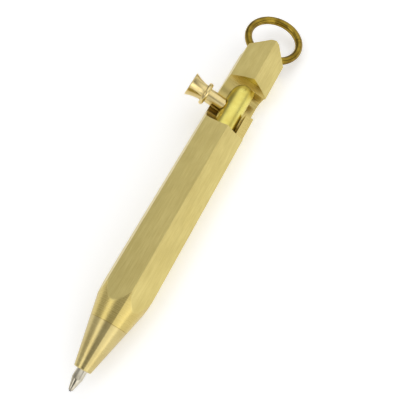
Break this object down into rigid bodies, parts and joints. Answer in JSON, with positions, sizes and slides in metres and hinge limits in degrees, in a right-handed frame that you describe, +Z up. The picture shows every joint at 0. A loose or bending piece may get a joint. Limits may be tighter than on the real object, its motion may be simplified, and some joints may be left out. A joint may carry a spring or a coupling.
{
  "type": "bolt-action ballpoint pen",
  "caption": "Short hexagonal brass bolt-action ballpoint pen with a turned nose cone, a side handle in a milled window and a key ring at the rear.",
  "frame": {"origin": "middle of the underside flat the pen lies on", "axes": "+Y along the pen towards the key ring, +Z up, +X to the right seen from the writing tip's end looking to the rear"},
  "size_m": [0.0185, 0.1008, 0.0132],
  "materials": {
    "hex_brass": "satin, drawn lengthwise grain",
    "cone_brass": "turned, fine lathe rings",
    "bolt_brass": "smooth satin",
    "handle_brass": "turned and polished",
    "spring_steel": "drawn wire",
    "tube_brass": "drawn tube",
    "point_steel": "polished nickel silver",
    "ball_carbide": "polished",
    "ink": "black ink",
    "grease": "translucent grease",
    "ring_brass": "polished wire, slightly aged"
  },
  "bodies": {
    "pen_body": {"barrel": "hex_brass", "nose_cone": "cone_brass", "return_spring": "spring_steel"},
    "refill": {"refill_tube": "tube_brass", "refill_point": "point_steel", "writing_ball": "ball_carbide", "ink_column": "ink", "grease_follower": "grease"},
    "bolt_group": {"bolt": "bolt_brass", "bolt_handle": "handle_brass"},
    "ring": {"key_ring": "ring_brass"}
  },
  "joints": [
    {"name": "bolt_turn", "type": "hinge", "parent": "refill", "child": "bolt_group", "pos_m": [0, 0.02275, 0.005], "axis": [0, 1, 0], "range_deg": [0, 180]},
    {"name": "refill_slide", "type": "slide", "parent": "pen_body", "child": "refill", "axis": [0, 1, 0], "range_m": [0, 0.0046], "deforming": ["return_spring"]},
    {"name": "ring_swing", "type": "hinge", "parent": "pen_body", "child": "ring", "pos_m": [0.00013, 0.04035, 0.00522], "axis": [0.9511, 0, -0.309], "range_deg": [-6, 26]}
  ],
  "couplings": [
    {"joint": "bolt_turn", "follows": "refill_slide", "rad_per_m": 682.95}
  ]
}
